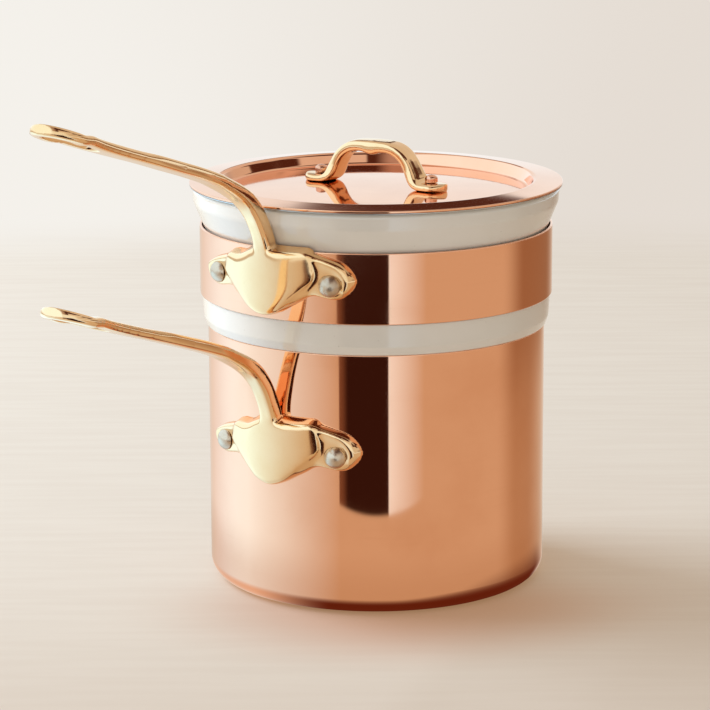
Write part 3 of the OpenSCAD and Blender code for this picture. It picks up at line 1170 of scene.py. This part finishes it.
@dataclass(frozen=True)
class Tints:
    """The colours of the surroundings: walls and floor as the camera sees them, and the light.

    From `room` on they show in metal and glaze alone, and from `front` on they are the floor's
    painted reflection, with painted shade at the pot's foot.
    """

    wall_left: Rgb = (0.91, 0.88, 0.83)
    wall_right: Rgb = (0.78, 0.715, 0.65)
    board_dark: Rgb = (0.428, 0.498, 0.54)
    board_pale: Rgb = (0.452, 0.528, 0.572)
    # painted shade: the boards' colour darker towards the camera
    board_front_shade: Rgb = (0.359, 0.387, 0.405)
    # painted shade tinted by painted copper bounce light, at the pot's foot
    board_bounce_shade: Rgb = (0.31, 0.2, 0.19)
    board_glow: Rgb = (0.282, 0.17, 0.086)
    light_left: Rgb = (0.74, 0.7, 0.66)
    light_right: Rgb = (0.46, 0.39, 0.31)
    room: Rgb = (0.98, 1.1, 1.15)
    room_right: Rgb = (0.72, 0.66, 0.58)
    room_low: Rgb = (0.32, 0.2, 0.12)
    ceiling: Rgb = (0.09, 0.03, 0.018)
    ceiling_left: Rgb = (0.5, 0.38, 0.33)
    panel: Rgb = (0.8, 0.74, 0.68)
    overhead: Rgb = (0.75, 0.7, 0.64)
    window: Rgb = (1.15, 1.5, 1.8)
    # the floor's painted reflection, a glow that the metal alone shows
    front: Rgb = (0.69, 0.56, 0.42)
    left: Rgb = (1.1, 1.63, 2.1)
    left_edge: Rgb = (0.92, 0.95, 0.9)
    right: Rgb = (0.36, 0.21, 0.12)
    right_by: Rgb = (0.52, 0.36, 0.23)
    right_edge: Rgb = (0.62, 0.5, 0.37)
    back: Rgb = (0.78, 0.7, 0.6)
    strip: Rgb = (1.0, 1.25, 1.5)
    gap: Rgb = (0.037, 0.012, 0.008)
    gap_edge: Rgb = (0.2, 0.09, 0.05)
    far: Rgb = (0.98, 1.1, 1.2)
    far_dim: Rgb = (0.68, 0.66, 0.62)
    # painted shade near the pot and painted contact shadow at its foot, in the floor's reflection
    ring: Rgb = (0.45, 0.28, 0.15)
    under: Rgb = (0.13, 0.025, 0.01)
    under_left: Rgb = (0.86, 0.7, 0.58)


@dataclass
class Studio:
    """The floor, the pale surroundings, the lamp and the camera.

    Directions are counted from the camera's side of the object, turning to its right.

    Attributes:
        azimuth: the camera's direction, with 0 looking along +Y, in degrees.
        away: level distance between the camera and the pot's axis.
        aside: how far the camera stands to the right of the axis.
        height: the camera's height.
        pitch: how far it looks down, in degrees.
        roll: its roll, in degrees.
        focal: its focal length in millimetres, for a 36 mm sensor.
        lamp_turn: the lamp's direction.
        lamp_lift: its angle over the floor.
        lamp_away: its distance.
        tints: the colours.
    """

    azimuth: float = -54.6
    away: float = 1.1488
    aside: float = -0.0079
    height: float = 0.3391
    pitch: float = 12.62
    roll: float = -0.23
    focal: float = 160.99
    lamp_turn: float = -112
    lamp_lift: float = 34
    lamp_away: float = 1.6
    tints: Tints = Tints()

    def __post_init__(self) -> None:
        """Work out the camera's own level directions."""
        turn = math.radians(self.azimuth)
        self.ahead = Vector((-math.sin(turn), math.cos(turn), 0))
        self.right = Vector((math.cos(turn), math.sin(turn), 0))

    def toward(self, turn: float, lift: float) -> Vector:
        """A direction round the object.

        Args:
            turn: degrees from the camera's side towards its right.
            lift: degrees above the floor.

        Returns:
            The unit vector.
        """
        turn, lift = math.radians(turn), math.radians(lift)
        level = self.right * math.sin(turn) - self.ahead * math.cos(turn)
        return level * math.cos(lift) + Vector((0, 0, math.sin(lift)))

    def build(self) -> None:
        """Build the floor, the world, the lamp and the camera."""
        bpy.context.scene.view_settings.view_transform = "Standard"
        self.camera()
        self.lamp()
        self.world()
        self.floor()

    def camera(self) -> None:
        """Place the camera."""
        data = bpy.data.cameras.new("camera")
        data.lens = self.focal
        data.sensor_width = 36
        data.clip_start, data.clip_end = 0.01, 50
        made = in_scene("camera", data)
        level = self.right * self.aside - self.ahead * self.away
        made.location = level + Vector((0, 0, self.height))
        turn = Matrix.Rotation(math.radians(self.azimuth), 3, "Z")
        tilt = Matrix.Rotation(math.radians(90 - self.pitch), 3, "X")
        roll = Matrix.Rotation(math.radians(self.roll), 3, "Z")
        made.rotation_euler = (turn @ tilt @ roll).to_euler()
        bpy.context.scene.camera = made

    def lamp(self) -> None:
        """Hang the one broad lamp on the left, a little behind the object."""
        data = bpy.data.lights.new("window", "AREA")
        data.shape = "RECTANGLE"
        data.size, data.size_y = 1.1, 0.9
        data.energy = 26
        data.color = (1.0, 0.97, 0.93)
        made = in_scene("window", data)
        way = self.toward(self.lamp_turn, self.lamp_lift)
        aim = Vector((0, 0, 80 * MM))
        made.location = way * self.lamp_away + aim
        made.rotation_euler = way.to_track_quat("Z", "Y").to_euler()
        made.visible_camera = False
        made.visible_glossy = False

    def world(self) -> None:
        """Make the pale surroundings, with the dark ceiling that the metal shows."""
        world = bpy.data.worlds.new("surroundings")
        world.use_nodes = True
        bpy.context.scene.world = world
        shader = Shader(world.node_tree)
        way = shader.node("ShaderNodeTexCoord").out("Generated")
        side = self.along(shader, way, self.right)
        lift = self.along(shader, way, Vector((0, 0, 1)))
        ahead = self.along(shader, way, self.ahead)
        tints = self.tints
        wall = self.wall_colour(shader, side)
        soft = shader.blend(side.ease(-0.7, 0.8), tints.light_left, tints.light_right)
        rays = shader.node("ShaderNodeLightPath")
        glossy = rays.out("Is Glossy Ray")
        seen = shader.blend(glossy, wall, self.reflected_room(shader, side, lift, ahead))
        sharp = rays.out("Is Camera Ray") + glossy + rays.out("Is Transmission Ray")
        colour = shader.blend(sharp, soft, seen)
        light = shader.node("ShaderNodeBackground", None, {"Color": colour, "Strength": 1.0})
        shader.node("ShaderNodeOutputWorld", None, {"Surface": light.out(0)})

    def wall_colour(self, shader: Shader, side: Wire) -> Wire:
        """The backdrop's colour, from side -1 on the bright left to 1 on the right."""
        return shader.blend(side.ease(-0.2, 0.2), self.tints.wall_left, self.tints.wall_right)

    def reflected_room(self, shader: Shader, side: Wire, lift: Wire, ahead: Wire) -> Wire:
        """What the metal sees of the room: pale walls, a dark ceiling and a window on the left.

        Args:
            shader: the world's shader.
            side: how far a ray runs to the camera's right.
            lift: how far it runs up.
            ahead: how far it runs away from the camera.

        Returns:
            The colour.
        """
        tints = self.tints
        behind = ahead.ease(-0.1, 0.1)
        right = shader.blend(behind * lift.ease(0.18, 0.08), tints.room_right, tints.room_low)
        room = shader.blend(side.ease(0.35, 0.75), tints.room, right)
        ceiling = shader.blend(side.ease(-0.2, 0.02), tints.ceiling_left, tints.ceiling)
        panel = side.ease(0.08, 0.12) * side.ease(0.8, 0.76) * lift.ease(0.74, 0.66)
        ceiling = shader.blend(panel, ceiling, tints.panel)
        ceiling = shader.blend(behind * lift.ease(0.42, 0.58), ceiling, tints.overhead)
        slant = side * side.ease(0.6, 0.35) * behind
        height = lift + slant * 0.45 - (1 - behind) * 0.12
        colour = shader.blend(height.ease(0.298, 0.312), room, ceiling)
        window = side.ease(-0.26, -0.4) * lift.ease(-0.02, 0.06)
        return shader.blend(window, colour, tints.window)

    @staticmethod
    def along(shader: Shader, vector: Wire, axis: Vector) -> Wire:
        """How far a vector reaches along an axis, a unit vector."""
        settings, sockets = {"operation": "DOT_PRODUCT"}, {0: vector, 1: tuple(axis)}
        return shader.node("ShaderNodeVectorMath", settings, sockets).out("Value")

    def floor(self) -> None:
        """Lay the pale floor, which fades into the surroundings."""
        reach, sides = 4.0, 96
        turns = [2 * math.pi * k / sides for k in range(sides)]
        corners = [Vector((reach * math.cos(turn), reach * math.sin(turn), 0)) for turn in turns]
        made = make_piece("floor", corners, [tuple(range(sides))])
        material, shader = new_material("pale_floor")
        tints = self.tints
        place = shader.place()
        near = self.along(shader, place, -self.ahead)
        side = self.along(shader, place, self.right)
        distance = (near * near + side * side) ** 0.5
        pot_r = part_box("pot_shell")[1].x
        grain = shader.clouds(shader.vector(side * 14, near * 160, 0.0), 1.0, 3.0)
        board = shader.blend(grain.ease(0.3, 0.7), tints.board_dark, tints.board_pale)
        # painted shade: the boards are painted darker towards the camera
        board = shader.blend(near.ease(-0.05, 0.4), board, tints.board_front_shade)
        # painted shade with painted copper bounce light: the floor darkens and reddens at the
        # pot's foot, before it and to its right
        foot = distance.ease(pot_r + 70 * MM, pot_r) * (near / distance).ease(0.1, 0.8)
        board = shader.blend(foot * side.ease(-0.12, 0.02), board, tints.board_bounce_shade)
        paint = shader.node("ShaderNodeBsdfDiffuse", None, {"Color": board})
        glow = shader.glow(tints.board_glow)
        lit = shader.node("ShaderNodeAddShader", None, {0: paint.out(0), 1: glow})
        haze = shader.glow(self.wall_colour(shader, side / distance))
        seen = shader.mixed(distance.ease(0.6, 0.78), lit.out(0), haze)
        # painted reflection: in glossy rays alone the floor glows in a pattern that the metal
        # shows
        painted_reflection = shader.glow(self.painted_floor_reflection(shader, near, side, distance, pot_r))
        glossy = shader.node("ShaderNodeLightPath").out("Is Glossy Ray")
        whole = shader.mixed(glossy, seen, painted_reflection)
        shader.node("ShaderNodeOutputMaterial", None, {"Surface": whole})
        made.data.materials.append(material)

    @staticmethod
    def facing(near: Wire, side: Wire, distance: Wire, radius: float) -> Wire:
        """Which bearing of a round wall mirrors a point of the floor to the camera.

        The ray that leaves the wall at bearing b runs at bearing 2b and passes the axis at
        radius * sin(b), which is solved by repetition.

        Args:
            near: the point's distance towards the camera.
            side: its distance to the camera's right.
            distance: its distance from the axis.
            radius: the wall's radius.

        Returns:
            The bearing in degrees, 0 towards the camera and positive to its right.
        """
        turn = side.maths("ARCTAN2", side, near)
        pull = (radius / distance).maths("MINIMUM", radius / distance, 1.0)
        bearing = turn * 0.5
        for _ in range(4):
            offset = pull * bearing.maths("SINE", bearing)
            bearing = (turn + offset.maths("ARCSINE", offset)) * 0.5
        return bearing * (180 / math.pi)

    def painted_floor_reflection(self, shader: Shader, near: Wire, side: Wire, distance: Wire,
                        radius: float) -> Wire:
        """The painted reflection that the metal shows of the floor, a glow seen in glossy rays
        alone: a bright left and a dark gap before the camera.

        Args:
            shader: the floor's shader.
            near: distance towards the camera.
            side: distance to the camera's right.
            distance: distance from the pot's axis.
            radius: the pot's radius.

        Returns:
            The colour.
        """
        tints = self.tints
        bearing = self.facing(near, side, distance, radius)
        beyond = near.ease(0.192, 0.2)
        away = distance.ease(0.25, 0.55)
        colour = shader.blend(bearing.ramp(-12.5, -50), tints.front, tints.left)
        colour = shader.blend(bearing.ease(-56, -80), colour, tints.left_edge)
        right = shader.blend(away, tints.right_by, tints.right)
        colour = shader.blend(bearing.ease(44, 56), colour, right)
        colour = shader.blend(bearing.ease(62, 76) * (1 - away), colour, tints.right_edge)
        back = bearing.ease(72, 89) + bearing.ease(-72, -89)
        colour = shader.blend(back, colour, tints.back)
        past_gap = bearing.ease(3.6, 4.0)
        colour = shader.blend(bearing.ramp(16, 3.8) * past_gap * beyond, colour, tints.strip)
        gap = bearing.ease(-13.0, -12.6) * (1 - past_gap) * beyond
        dark = shader.blend(bearing.ease(-12.4, -9.5), tints.gap_edge, tints.gap)
        colour = shader.blend(gap, colour, dark)
        dim = bearing.ease(-18, -28) * bearing.ease(-76, -60)
        far = shader.blend(dim, tints.far, tints.far_dim)
        colour = shader.blend(distance.ease(0.9, 1.0), colour, far)
        # painted shade: the reflected floor darkens near the pot, and at the wall's foot it turns
        # to a painted contact shadow, dark before the camera and pale on the left
        ring = distance.ease(radius + 90 * MM, radius + 20 * MM) * 0.3
        colour = shader.blend(ring, colour, tints.ring)
        to_back = bearing.ease(89, 70)
        reach = 10 * MM + bearing.ease(5, 50) * to_back * (26 * MM)
        contact_shade = ((distance - radius) / reach).ease(1, 0)
        dark_side = bearing.ease(-52, -16) * to_back
        under = shader.blend(dark_side, tints.under_left, tints.under)
        return shader.blend(contact_shade, colour, under)


def main() -> None:
    """Build the double boiler and its studio."""
    logging.basicConfig(level=logging.INFO, format="%(name)s: %(message)s")
    looks: dict[Any, bpy.types.Material] = {}
    Studio().build()
    for assembly in (Pot("pot", looks), Insert("insert", looks), Lid("lid", looks)):
        assembly.build()
        LOG.info("%s is built", assembly.body)


if __name__ == "__main__":
    main()
